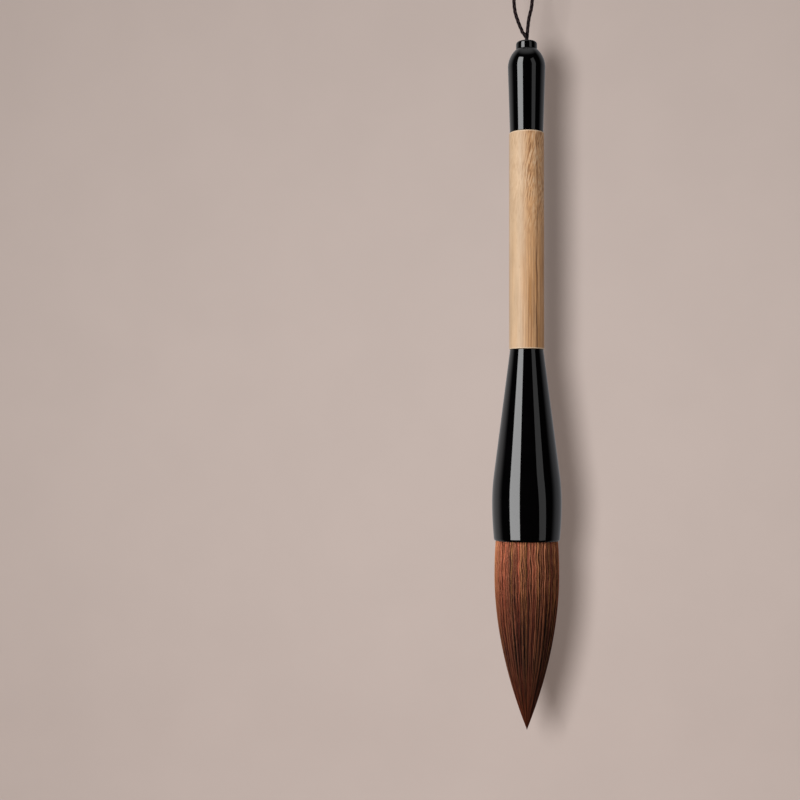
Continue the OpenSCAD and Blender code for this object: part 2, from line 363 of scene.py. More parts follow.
def makeWood(s):
    material, tree, shader = newMaterial("gripWood", s["pale"], **{"IOR": 1.45})
    place = objectPlace(tree)
    x, y, z = split(place)
    foot, top = ferruleHigh.z / mm, capLow.z / mm
    share = (z - foot) / (top - foot)
    low = smooth(share, 0.36, 0.62, 1.0, 0.0)  # 1 in the lower half
    high = smooth(share, 0.40, 0.78)  # 1 in the upper half
    turn = x.maths("ARCTAN2", y * -1.0)
    # growth rings round a pith that leans, bent by slow waves
    fromX = x - s["pith"][0] - share * 2.6
    fromY = y - s["pith"][1]
    bent = noise(place, (0.11, 0.11, 0.016)) * 5.0 + (fromX ** 2.0 + fromY ** 2.0).maths("SQRT")
    bent = noise(place, (0.45, 0.45, 0.07)) * (high * 1.5 + 0.4) + bent
    ring = (bent / s["ringWidth"]).maths("FRACT")
    lateWood = ring ** 2.6 * smooth(ring, 0.93, 1.0, 1.0, 0.0)
    grain = useGroup(fibreGrain, Vector=place, Width=0.26, Length=16.0, Ticks=0.55)
    tone = useGroup(patchyTone, Vector=stretch(place, 1, 1, 0.18), Size=3.2, Amount=0.08)["Tone"]
    awayFromKeyLight = smooth(x, -3.2, 2.0)  # 1 on the right, away from the key lamp; the figure fades out towards the left side
    figured = awayFromKeyLight * 0.75 + 0.25
    # painted light: the wood is painted paler on the left, where the key lamp falls, and warmer on the
    # shaded right
    colour = mix(awayFromKeyLight * 0.9, s["pale"], s["warm"])
    colour = mix(grain["Streak"] * 0.55 * figured, colour, s["mid"])
    colour = mix(lateWood * (figured * (low * 0.22 + 0.10)), colour, s["dark"])
    # orange streaks and straight fine lines low down
    lowRight = low * awayFromKeyLight
    orange = smooth(noise(place, (0.9, 0.9, 0.035)), 0.50, 0.62)
    colour = mix(orange * (low * 0.12 + lowRight * 0.5), colour, s["orange"])
    drift = noise(place, (0.0, 0.0, 0.03), detail=1.0)
    ruled = smooth((turn * s["lines"] + drift * 7.0).maths("SINE"), 0.25, 0.95)
    strong = smooth(noise(place, (0.9, 0.9, 0.02), detail=1.0), 0.36, 0.62)
    colour = mix(ruled * (strong * (lowRight * 0.78 + 0.07)), colour, s["mark"])
    # short lens-shaped figure high up
    lens = noise(combine(tree, z * -0.17 + x, y, z), (2.5, 2.5, 0.24), detail=1.0, distortion=0.2)
    gathered = smooth(noise(place, (0.35, 0.35, 0.06)), 0.36, 0.56, 0.55, 1.0)
    figure = (high * 0.92 + 0.08) * (figured * gathered)
    darkLens = smooth(lens, 0.54, 0.62) * figure
    paleLens = smooth(lens, 0.46, 0.38) * figure
    colour = mix(darkLens * 0.92, colour, s["mark"])
    colour = mix(paleLens * 0.55, colour, s["bevel"])
    # one dark line that wanders a little
    wander = noise(place, (0.0, 0.0, 0.045)) * -0.5 + turn
    off = (wander - (math.radians(s["lineAt"]) - 0.25)).maths("ABSOLUTE")
    broken = smooth(noise(place, (0.3, 0.3, 0.09)), 0.30, 0.5, 0.35, 0.9)
    line = smooth(off, 0.02, 0.075, 1.0, 0.0) * broken
    colour = mix(line * (low * 0.35 + 0.5), colour, s["line"])
    colour = mix(grain["Tick"] * 0.55, colour, s["dark"])
    colour = tint(colour, tone)
    # bare end grain on the bevels is paler, then darkens right at the joint
    wear = useGroup(edgeWear, Vector=place, Amount=0.5, Patch=3.0)["Wear"]
    colour = mix(wear, colour, s["bevel"])
    fromEnds = (z - foot).maths("MINIMUM", top - z)
    colour = mix(smooth(fromEnds, 0.28, 0.55, 1.0, 0.0) * 0.85, colour, s["bevel"])
    colour = mix(smooth(fromEnds, 0.0, 0.12, 1.0, 0.0) * 0.8, colour, s["line"])
    marks = useGroup(handling, Vector=place, Gloss=s["roughness"], Smudge=0.14, Dust=0.05)
    join(shader.inputs, {"Base Color": colour, "Roughness": marks["Roughness"],
                         "Normal": bumpFrom(lateWood * 0.3 + grain["Height"], 0.02)})
    return material


hairLook = {
    # gap is painted shade: the darkest hair colour, for the shaded gaps between hairs
    "gap": (0.045, 0.0090, 0.0042),
    "dark": (0.150, 0.041, 0.018),
    "mid": (0.400, 0.122, 0.056),
    "light": (0.860, 0.310, 0.148),
    "red": (1.00, 0.60, 0.62),  # these two tint the hairs they fall on
    "olive": (1.10, 1.42, 0.92),
    "roughness": 0.52,
}


def makeHair(s):
    # tone, hue and along are stored on each hair, so the colours stay put when the tuft bends
    material, tree, shader = newMaterial("weaselHair", s["mid"], **{"Specular IOR Level": 0.28})
    tone, hue, along, lock = [stored(tree, name) for name in ("tone", "hue", "along", "lock")]
    depth = along * (tuftLength / mm)
    ownLine = combine(tree, hue * 37.0, tone * 60.0, depth)
    patch = useGroup(patchyTone, Vector=ownLine, Size=6.0, Amount=0.25)
    lockLine = combine(tree, lock * 37.0, 0.0, depth)
    streak = useGroup(patchyTone, Vector=lockLine, Size=17.0, Amount=0.32)
    lit = (tone * patch["Tone"]).maths("MULTIPLY", streak["Tone"], clamp=True)
    colour = colourRamp(lit, [
        (0.05, s["gap"]), (0.25, s["dark"]), (0.48, s["mid"]), (0.76, s["light"])])
    red = smooth(hue, 0.62, 0.74) * 0.7
    colour = mix(red, colour, tint(colour, s["red"]))
    olive = smooth(hue, 0.36, 0.24) * 0.8
    colour = mix(olive, colour, tint(colour, s["olive"]))
    # pale at the root, deep brown towards the tip
    shade = colourRamp(along, [
        (0.0, (0.80, 0.855, 0.90)), (0.15, (0.56, 0.55, 0.55)), (0.31, (0.345, 0.30, 0.275)),
        (0.47, (0.245, 0.208, 0.188)), (0.64, (0.168, 0.146, 0.134)), (0.82, (0.20, 0.145, 0.122)),
        (1.0, (0.26, 0.160, 0.095))])
    join(shader.inputs, {"Base Color": tint(colour, shade),
                         "Roughness": patch["Mask"] * 0.12 + s["roughness"]})
    return material


cordLook = {
    "thread": (0.0120, 0.0052, 0.0058),
    "worn": (0.070, 0.042, 0.042),
    # deep is painted shade for the grooves between the plies
    "deep": (0.0010, 0.0005, 0.0005),
}


def makeCordThread(s):
    material, tree, shader = newMaterial("cordThread", s["thread"], **{"Specular IOR Level": 0.12})
    crown, across, along = [stored(tree, name) for name in ("crown", "across", "along")]
    line = combine(tree, across, 0.0, along)
    grain = useGroup(fibreGrain, Vector=line, Width=0.11, Length=1.6, Ticks=0.2)
    tone = useGroup(patchyTone, Vector=line, Size=5.0, Amount=0.2)["Tone"]
    colour = mix(smooth(crown, 0.35, 0.8), s["deep"], s["thread"])  # 1 is the top of a ply; the deep colour is painted shade in the grooves between the plies
    worn = grain["Streak"] * smooth(crown, 0.72, 1.0, 0.0, 0.8)
    join(shader.inputs, {"Base Color": tint(mix(worn, colour, s["worn"]), tone),
                         "Roughness": grain["Streak"] * 0.2 + 0.6,
                         "Normal": bumpFrom(grain["Height"], 0.03)})
    return material


# deep is painted shade for the grooves between the plies of the thread
threadLook = {"linen": (0.50, 0.38, 0.22), "deep": (0.20, 0.13, 0.065), "waxed": (0.62, 0.50, 0.32)}


def makeLinen(s):
    material, tree, shader = newMaterial("bindingLinen", s["linen"], **{"Sheen Weight": 0.2})
    place = objectPlace(tree)
    grain = useGroup(fibreGrain, Vector=place, Width=0.12, Length=0.5, Ticks=0.3)
    tone = useGroup(patchyTone, Vector=place, Size=3.0, Amount=0.16)["Tone"]
    # painted shade: the deep colour darkens the grooves between the plies, the linen colour sits on their
    # tops
    colour = mix(smooth(stored(tree, "crown"), 0.1, 0.8), s["deep"], s["linen"])
    colour = mix(grain["Streak"] * 0.5, colour, s["waxed"])
    join(shader.inputs, {"Base Color": tint(colour, tone),
                         "Roughness": grain["Streak"] * 0.2 + 0.55,
                         "Normal": bumpFrom(grain["Height"], 0.03)})
    return material


def makeSetGlue(name, clear, cloudy, gloss):
    # rosin and animal glue: one recipe, clear to cloudy, with bubbles and drag marks
    material, tree, shader = newMaterial(name, clear, **{"Coat Roughness": 0.12, "IOR": 1.52})
    place = objectPlace(tree)
    tone = useGroup(patchyTone, Vector=place, Size=2.4, Amount=0.25)
    marks = useGroup(handling, Vector=place, Gloss=gloss, Smudge=0.2, Dust=0.4)
    colour = tint(mix(tone["Mask"], clear, cloudy), tone["Tone"])
    join(shader.inputs, {"Base Color": colour, "Roughness": marks["Roughness"],
                         "Coat Weight": tone["Mask"] * 0.5, "Normal": bumpFrom(marks["Height"], 0.12)})
    return material


lacquer = makeLacquer(lacquerLook)
gripWood = makeWood(woodLook)
brushHair = makeHair(hairLook)
cordThread = makeCordThread(cordLook)
bindingLinen = makeLinen(threadLook)
pineRosin = makeSetGlue("pineRosin", (0.33, 0.13, 0.028), (0.46, 0.25, 0.085), 0.16)
hideGlue = makeSetGlue("hideGlue", (0.58, 0.44, 0.24), (0.68, 0.58, 0.38), 0.32)
print("materials built")


# Helpers that build meshes

def makePiece(name, points, faces, material, sharpAngle=None, values=None):
    mesh = bpy.data.meshes.new(name)
    mesh.from_pydata(points, [], faces)
    for label, numbers in (values or {}).items():
        layer = mesh.attributes.new(label, "FLOAT", "POINT")
        layer.data.foreach_set("value", np.asarray(numbers, np.float32))
    mesh.shade_smooth()
    if sharpAngle:
        mesh.set_sharp_from_angle(angle=math.radians(sharpAngle))
    mesh.materials.append(material)
    return addObject(name, mesh)


def arc(centre, radius, start, end, steps):
    # points of an arc in the (radius, height) plane, angles in degrees
    angles = np.radians(np.linspace(start, end, steps + 1))
    return [(centre[0] + radius * math.cos(a), centre[1] + radius * math.sin(a)) for a in angles]


def straight(a, b, steps):
    # points of a straight side, closer together near its ends so that the shading stays flat
    shares = 0.5 - 0.5 * np.cos(np.linspace(0, math.pi, steps + 1))
    return [(a[0] + (b[0] - a[0]) * t, a[1] + (b[1] - a[1]) * t) for t in shares]


def ringTurns(sides):
    return 2 * math.pi * np.arange(sides) / sides


def turnPiece(name, outline, material, sides=192, sharpAngle=28, baseZ=0.0):
    # turns a closed outline of (radius, height) in millimetres round the Z axis
    points = []
    rings = []
    for radius, height in outline:
        corners = [(math.cos(a), math.sin(a)) for a in ringTurns(sides)] if radius > 1e-6 else [(0.0, 0.0)]
        rings.append([len(points) + k % len(corners) for k in range(sides)])
        points += [(radius * mm * x, radius * mm * y, baseZ + height * mm) for x, y in corners]
    faces = []
    for lower, upper in zip(rings, rings[1:] + rings[:1]):
        for k in range(sides):
            m = (k + 1) % sides
            corners = list(dict.fromkeys([lower[k], lower[m], upper[m], upper[k]]))
            if len(corners) > 2:
                faces.append(corners)
    return makePiece(name, points, faces, material, sharpAngle)


def tubeFaces(count, sides, closed=False):
    # quads between rings of points, with a cap at both ends or the last ring joined to the first
    grid = np.arange(count * sides).reshape(count, sides)
    if closed:
        grid = np.vstack([grid, grid[:1]])
    turned = np.roll(grid, -1, axis=1)
    walls = np.stack([grid[:-1], turned[:-1], turned[1:], grid[1:]], axis=-1).reshape(-1, 4).tolist()
    return walls if closed else walls + [grid[0][::-1].tolist(), grid[-1].tolist()]


def unit(values):
    # keeps values between 0 and 1
    return np.clip(values, 0, 1)


# Cord: a braided loop that runs down through the knob to a stopper knot

# The route, as (x, y, height above the knob's top) in millimetres
cordRoute = [
    # up through the knob's hole
    (0.3, -0.7, -13), (0.3, -0.7, -9), (0.3, -0.7, -5), (0.3, -0.7, -1), (0.2, -0.7, 0.4),
    (-0.1, -0.72, 1.4), (-0.55, -0.65, 2.3), (-1, -0.4, 3), (-1.35, -0.12, 3.5), (-1.62, 0, 4),
    # round the loop
    (-1.9, 0, 4.7), (-2.1, 0, 5.2), (-2.7, 0, 6.6), (-3.25, 0, 8.1), (-3.8, 0, 9.7), (-4.25, 0, 11.2),
    (-4.55, 0, 12.8), (-4.75, 0, 14.6), (-4.85, 0, 17.5), (-4.85, 0, 22), (-4.75, 0, 28), (-4.55, 0, 34),
    (-4.3, 0, 40), (-4, 0, 46), (-3.75, 0, 52), (-3.6, 0, 57), (-3.55, 0, 59.5), (-3.1, 0, 61),
    (-1.8, 0, 62.2), (0, 0, 62.7), (1.8, 0, 62.2), (3.1, 0, 61), (3.55, 0, 59.5), (3.6, 0, 57),
    (3.6, 0, 52), (3.5, 0, 46), (3.35, 0, 40), (3.15, 0, 34), (2.9, 0, 28), (2.6, 0, 22), (2.3, 0, 17.5),
    (2.05, 0, 14.6), (1.8, 0, 12.8), (1.4, 0, 11.2), (1.05, 0, 9.7), (0.78, 0, 8.1), (0.6, 0, 6.6),
    (0.48, 0, 5.5), (0.4, 0, 4.75),
    # down to the knot again
    (0.35, 0, 4), (0.3, 0.12, 3.5), (0.25, 0.4, 3), (0.2, 0.65, 2.3), (0.1, 0.72, 1.4), (-0.05, 0.7, 0.4),
    (-0.1, 0.7, -1), (-0.1, 0.7, -5), (-0.1, 0.7, -9), (-0.1, 0.7, -13),
]

cordSet = {
    "diameter": 1.4 * mm,
    "plies": 3,  # plies that wind each way
    "fullTurn": 6.2 * mm,  # length in which one ply goes round once
    "relief": 0.13 * mm,  # depth of the grooves between plies
    "step": 0.11 * mm,
    "sides": 32,
}


def distanceAlong(line):
    return np.concatenate([[0], np.cumsum(np.linalg.norm(np.diff(line, axis=0), axis=1))])


def smoothRoute(route, step):
    # a smooth curve through the points, then points at an even spacing along it
    p = np.array(route, float)
    p = np.vstack([2 * p[0] - p[1], p, 2 * p[-1] - p[-2]])
    shares = np.linspace(0, 1, 24, endpoint=False)[:, None]
    pieces = []
    for a, b, c, d in zip(p, p[1:], p[2:], p[3:]):
        pieces.append(0.5 * (2 * b + (c - a) * shares + (2 * a - 5 * b + 4 * c - d) * shares ** 2
                             + (3 * b - a - 3 * c + d) * shares ** 3))
    line = np.vstack(pieces + [p[-2:-1]])
    run = distanceAlong(line)
    at = np.linspace(0, run[-1], int(run[-1] / step) + 1)
    return np.stack([np.interp(at, run, line[:, k]) for k in range(3)], axis=1)


def tubePoints(line, radius):
    # rings of points round a line, without twist, one radius for each point of each ring
    heading = np.gradient(line, axis=0)
    heading /= np.linalg.norm(heading, axis=1)[:, None]
    side = np.cross(heading[0], (0.3, 1.0, 0.2))
    sides = []
    for direction in heading:
        side = side - direction * (side @ direction)
        side = side / np.linalg.norm(side)
        sides.append(side)
    sides = np.array(sides)[:, None, :]
    fronts = np.cross(heading, sides[:, 0])[:, None, :]
    turn = ringTurns(radius.shape[1])[None, :, None]
    rings = line[:, None, :] + radius[:, :, None] * (np.cos(turn) * sides + np.sin(turn) * fronts)
    return rings.reshape(-1, 3).tolist()


def braidHeight(turn, run, plies, fullTurn):
    # a plain braid: which ply lies on top at each place, and how high it stands
    a, b = [plies * (turn / (2 * math.pi) + way * run / fullTurn) for way in (1, -1)]
    heights, places = [], []
    for own, other, way in ((a, b, 1), (b, a, -1)):
        across = own - np.floor(own) - 0.5
        over = 0.5 + 0.5 * way * np.cos(math.pi * (other - 0.5)) * (1 - 2 * (np.floor(own) % 2))
        heights.append((1 - (1.85 * across) ** 2) * over ** 0.6)
        places.append(across)
    return unit(np.maximum(*heights)), np.where(heights[0] > heights[1], *places)


def braidedTube(line, s):
    # points, faces and stored values of a braided tube with softly closed ends
    run = distanceAlong(line)
    high, across = braidHeight(ringTurns(s["sides"])[None, :], run[:, None], s["plies"], s["fullTurn"])
    # the ends draw in over a cord's radius
    fromEnd = np.minimum(run, run[-1] - run) / (s["diameter"] / 2)
    drawnIn = np.sqrt(1 - (1 - np.clip(fromEnd, 0.05, 1)) ** 2)[:, None]
    radius = (s["diameter"] / 2 - s["relief"] * (1 - high)) * drawnIn
    values = {
        "crown": high.ravel(),
        "across": (across + 3.0 * np.floor(run / s["fullTurn"] * 4)[:, None]).ravel(),
        "along": np.repeat(run / mm, s["sides"]),
    }
    return tubePoints(line, radius), tubeFaces(*radius.shape), values


def hangingCord(s):
    line = smoothRoute([[x * mm, y * mm, knobTop + h * mm] for x, y, h in cordRoute], s["step"])
    points, faces, values = braidedTube(line, s)
    cord = makePiece("hangingCord", points, faces, cordThread, values=values)
    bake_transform(cord)
    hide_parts("hang_loop", "cord_neck")
    return cord, line


knotSet = {
    "tube": 1.3 * mm,
    "spread": 0.94 * mm,  # size of the overhand turns
    "rise": 0.9 * mm,  # half the height between crossings
    "tail": 2.6 * mm,  # length of each cut end below the knot
}


def stopperKnot(s, cordShape):
    # an overhand knot: three lobes that pass over and under each other, then two cut ends
    middle = (knotLow.z + knotHigh.z) / 2
    turns = np.linspace(0.12, 2 * math.pi - 0.12, 260)
    lobes = np.stack([s["spread"] * (np.sin(turns) + 2 * np.sin(2 * turns)),
                      s["spread"] * (np.cos(turns) - 2 * np.cos(2 * turns)),
                      middle - s["rise"] * np.sin(3 * turns)], axis=1)
    shape = dict(cordShape, diameter=s["tube"], relief=0.1 * mm, sides=20, step=0.16 * mm)
    routes = [lobes[::6]]
    drop = np.linspace(0, 1, 8)
    for side in (-1, 1):
        routes.append(np.stack([side * (0.7 + 0.5 * drop ** 2) * mm, (0.3 - 0.5 * drop) * mm * side,
                                middle - (0.2 * mm + (1.4 * mm + s["tail"]) * drop)], axis=1))
    points, faces, values = [], [], {"crown": [], "across": [], "along": []}
    for route in routes:
        more = braidedTube(smoothRoute(route, shape["step"]), shape)
        faces += [[i + len(points) for i in face] for face in more[1]]
        points += more[0]
        for key in values:
            values[key] += list(more[2][key])
    knot = makePiece("cordKnot", points, faces, cordThread, values=values)
    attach(knot, "handle")
    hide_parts("cord_knot")
    return knot


hangCord, cordLine = hangingCord(cordSet)
cordKnot = stopperKnot(knotSet, cordSet)
print("cord and knot made")


# Lacquered tail: knob and cap

knobShape = {"holeRadius": 1.6, "holeRound": 0.5, "topRound": 1.0, "edge": 0.25, "spigotRadius": 2.55}


def makeKnob(s):
    radius = knobHigh.x / mm
    height = (knobTop - capHigh.z) / mm
    depth = (knobTop - knobLow.z) / mm
    hole, holeRound, topRound, edge = [s[key] for key in ("holeRadius", "holeRound", "topRound", "edge")]
    outline = (
        [(hole, -depth)] + straight((s["spigotRadius"], -depth), (s["spigotRadius"], -height), 4)
        + arc((radius - edge, edge - height), edge, -90, 0, 5)
        + straight((radius, edge - height + 0.03), (radius, -topRound - 0.03), 8)
        + arc((radius - topRound, -topRound), topRound, 0, 90, 14)
        + straight((radius - topRound - 0.03, 0), (hole + holeRound + 0.03, 0), 5)
        + arc((hole + holeRound, -holeRound), holeRound, 90, 180, 8)
        + straight((hole, -holeRound - 0.05), (hole, 0.3 - depth), 5))
    return turnPiece("tailKnob", outline, lacquer, baseZ=knobTop)


capShape = {
    "footRadius": 6.4, "edge": 0.25, "domeRadius": 9.3, "domeHeight": 6.8,
    "socketRadius": 4.5, "socketDepth": 24.0, "boreRadius": 2.6,
}


def makeCap(s):
    widest = capHigh.x / mm
    height = (capHigh.z - capLow.z) / mm
    domeFoot = height - s["domeHeight"]
    domeEnd = math.degrees(math.asin(s["domeHeight"] / s["domeRadius"]))
    foot, edge, socket, bore = [s[key] for key in ("footRadius", "edge", "socketRadius", "boreRadius")]
    dome = arc((widest - s["domeRadius"], domeFoot), s["domeRadius"], 0, domeEnd, 40)
    outline = (
        straight((socket, 0), (foot - edge, 0), 3)
        + arc((foot - edge, edge), edge, -90, 0, 5)
        + straight((foot + 0.002, edge + 0.05), (widest - 0.002, domeFoot - 0.05), 30)
        + dome
        + straight((dome[-1][0] - 0.05, height), (bore, height), 3)
        + straight((bore, height - 0.1), (bore, s["socketDepth"]), 4)
        + straight((socket, s["socketDepth"]), (socket, 0.1), 6))
    return turnPiece("tailCap", outline, lacquer, baseZ=capLow.z)


tailKnob = makeKnob(knobShape)
tailCap = makeCap(capShape)
for piece, node in ((tailKnob, "tail_knob"), (tailCap, "tail_cap")):
    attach(piece, "handle")
    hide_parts(node)
print("tail made")


# Wooden grip with a tenon at each end

gripShape = {"bevel": 0.4, "tenonRadius": 4.45, "tenonEdge": 0.25}


def makeGrip(s):
    radius = shaftHigh.x / mm
    top = (capLow.z - ferruleHigh.z) / mm
    reach = (shaftHigh.z - capLow.z) / mm
    tenon, edge, bevel = s["tenonRadius"], s["tenonEdge"], s["bevel"]
    outline = (
        [(0, -reach), (tenon - edge, -reach)]
        + straight((tenon, edge - reach), (tenon, 0), 4)
        + straight((tenon + 0.05, 0), (radius - bevel, 0), 3)
        + arc((radius - bevel, bevel), bevel, -75, 0, 6)
        + straight((radius, bevel + 0.08), (radius, top - bevel - 0.08), 70)
        + arc((radius - bevel, top - bevel), bevel, 0, 75, 6)
        + straight((radius - bevel, top), (tenon + 0.05, top), 3)
        + straight((tenon, top), (tenon, top + reach - edge), 4)
        + [(tenon - edge, top + reach), (0, top + reach)])
    return turnPiece("woodenGrip", outline, gripWood, baseZ=ferruleHigh.z)


woodenGrip = makeGrip(gripShape)
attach(woodenGrip, "handle")
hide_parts("shaft")
print("grip made")


# Ferrule with the socket for the hair

ferruleShape = {
    "neckRadius": 6.4, "lipRadius": 12.5, "bellHeight": 14.5, "archHeight": 10.5, "edge": 0.25,
    "lipRound": 0.5, "lipHeight": 1.25, "flareRadius": 12.0, "flareDepth": 4.0, "socketRadius": 11.0,
    "socketDepth": 19.0, "boreRadius": 4.5, "boreDepth": 14.0,
}


def makeFerrule(s):
    bell = ferruleHigh.x / mm
    height = (ferruleHigh.z - mouth) / mm
    # the upper arc runs into the cone without a corner, the lower arc is flatter
    coneHeight = height - s["bellHeight"]
    arch, edge, neck, bore = [s[key] for key in ("archHeight", "edge", "neckRadius", "boreRadius")]
    archRadius = arch * (coneHeight - arch / 2) / (bell - neck)
    archTurn = math.degrees(math.asin(arch / archRadius))
    lowRadius = s["bellHeight"] ** 2 / (2 * (bell - s["lipRadius"]))
    lowTurn = math.degrees(math.asin((s["bellHeight"] - s["lipHeight"]) / lowRadius))
    lip = s["lipRound"]
    lipTop = bell - lowRadius * (1 - math.cos(math.radians(lowTurn)))
    roundLip = [(lipTop - lip + lip * math.cos(a), s["lipHeight"] * (1 + math.sin(a)))
                for a in np.linspace(-math.pi / 2, -0.1, 12)]
    archTop = arc((bell - archRadius, s["bellHeight"]), archRadius, 0, archTurn, 26)
    outline = (
        [(s["flareRadius"], 0)]
        + roundLip
        + arc((bell - lowRadius, s["bellHeight"]), lowRadius, -lowTurn, 0, 30)
        + archTop[1:]
        + straight((archTop[-1][0] - 0.006, archTop[-1][1] + 0.05), (neck + 0.006, height - edge - 0.05), 30)
        + arc((neck - edge, height - edge), edge, 0, 90, 5)
        + straight((neck - edge - 0.05, height), (bore, height), 3)
        + straight((bore, height - 0.1), (bore, height - s["boreDepth"]), 4)
        + [(0, height - s["boreDepth"]), (0, s["socketDepth"])]
        + straight((s["socketRadius"], s["socketDepth"]), (s["socketRadius"], s["flareDepth"]), 6)
        + straight((s["socketRadius"] + 0.02, s["flareDepth"] - 0.08), (s["flareRadius"] - 0.01, 0.04), 4))
    return turnPiece("ferruleShell", outline, lacquer, sides=256, baseZ=mouth)


ferruleShell = makeFerrule(ferruleShape)
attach(ferruleShell, "handle")
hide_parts("ferrule")
print("ferrule made")


# Hair: a grooved body under loose strands, gathered in locks

tuftShape = {
    "belly": 12.3, "bellyDepth": 13.0, "atMouth": 11.9, "taper": 1.9,
    "butt": 10.6, "flareDepth": 4.0,
}
tuftDepth = tuftLength / mm


def hairRadius(depth, s=tuftShape):
    # outer radius of the hair at a depth below the mouth, and inside the socket above it
    depth = np.asarray(depth, float)
    short = 1 - unit(depth / s["bellyDepth"])
    shoulder = s["belly"] - (s["belly"] - s["atMouth"]) * short ** 2
    fall = unit((depth - s["bellyDepth"]) / (tuftDepth - s["bellyDepth"])) ** s["taper"]
    outside = np.where(depth < s["bellyDepth"], shoulder, s["belly"] * (1 - fall))
    flare = unit(-depth / s["flareDepth"])
    inside = s["atMouth"] + (s["butt"] - s["atMouth"]) * flare
    return np.where(depth < 0, inside, outside)


lockSet = {
    "count": 170,  # locks round the tuft
    "wave": 0.30,  # how far a lock wanders sideways, in millimetres
    "groove": 0.30,  # how much deeper a lock's sides lie than its middle
    "uneven": 0.22,  # how much deeper some locks lie than others
    "stray": 0.965,  # a hair strays if its draw from 0 to 1 is above this
    "flatness": 1.25,  # width of a hair over its thickness
}
locks = lockSet["count"]
rng = np.random.default_rng(11)
lockWidth = rng.uniform(0.45, 1.7, locks)
lockWidth *= 2 * math.pi / lockWidth.sum()
lockAngle = np.cumsum(lockWidth) - lockWidth / 2
lockNumber = np.arange(locks)
lockDark = lockNumber % 2  # pale and dark locks take turns
lockTone = 0.76 - 0.5 * lockDark + rng.uniform(-0.24, 0.24, locks)
lockHue = rng.uniform(0, 1, locks)
# tones of the broader locks, of two and then five, that they gather into
gatherTone = []
for number in (2, 5):
    each = rng.uniform(-0.22, 0.22, locks)[lockNumber // number]
    gatherTone.append(0.78 - 0.58 * (lockNumber // number % 2) + each)
lockDeep = (0.5 * lockDark + 0.5 * rng.uniform(0, 1, locks) ** 1.5) * lockSet["uneven"]
lockPhase = rng.uniform(0, 2 * math.pi, (locks, 3))


def wave(depth, length, shift):
    # a sideways wave that repeats after a length
    return np.sin(depth * 2 * math.pi / length + shift)


def hairSway(angle, depth, which):
    # sideways wander in millimetres: neighbours wave together, crimped near the root, straight at the tip
    crimp = np.exp(-((depth - 10) / 16) ** 2)
    shared = (wave(depth, 10.5, 2.1 * np.sin(3 * angle) + 5 * angle)
              + 0.6 * wave(depth, 6.1, 7 * angle + 1.3))
    long = wave(depth, 41.0, 2 * angle + lockPhase[which, 0])
    own = wave(depth, 8.0, lockPhase[which, 1])
    sway = lockSet["wave"] * (0.55 * crimp * shared + 0.5 * long) + 0.07 * (crimp + 0.3) * own
    return sway * unit(hairRadius(depth) / 9)


strandSets = {
    "coverHairA": {"count": 1250, "seed": 3, "deep": 0.42, "lift": 0.0, "thick": (0.11, 0.20)},
    "coverHairB": {"count": 1250, "seed": 5, "deep": 0.22, "lift": 0.0, "thick": (0.09, 0.17)},
    "coverHairC": {"count": 1250, "seed": 7, "deep": 0.08, "lift": 0.03, "thick": (0.07, 0.14)},
    "coverHairD": {"count": 1250, "seed": 9, "deep": 0.0, "lift": 0.05, "thick": (0.06, 0.12)},
}


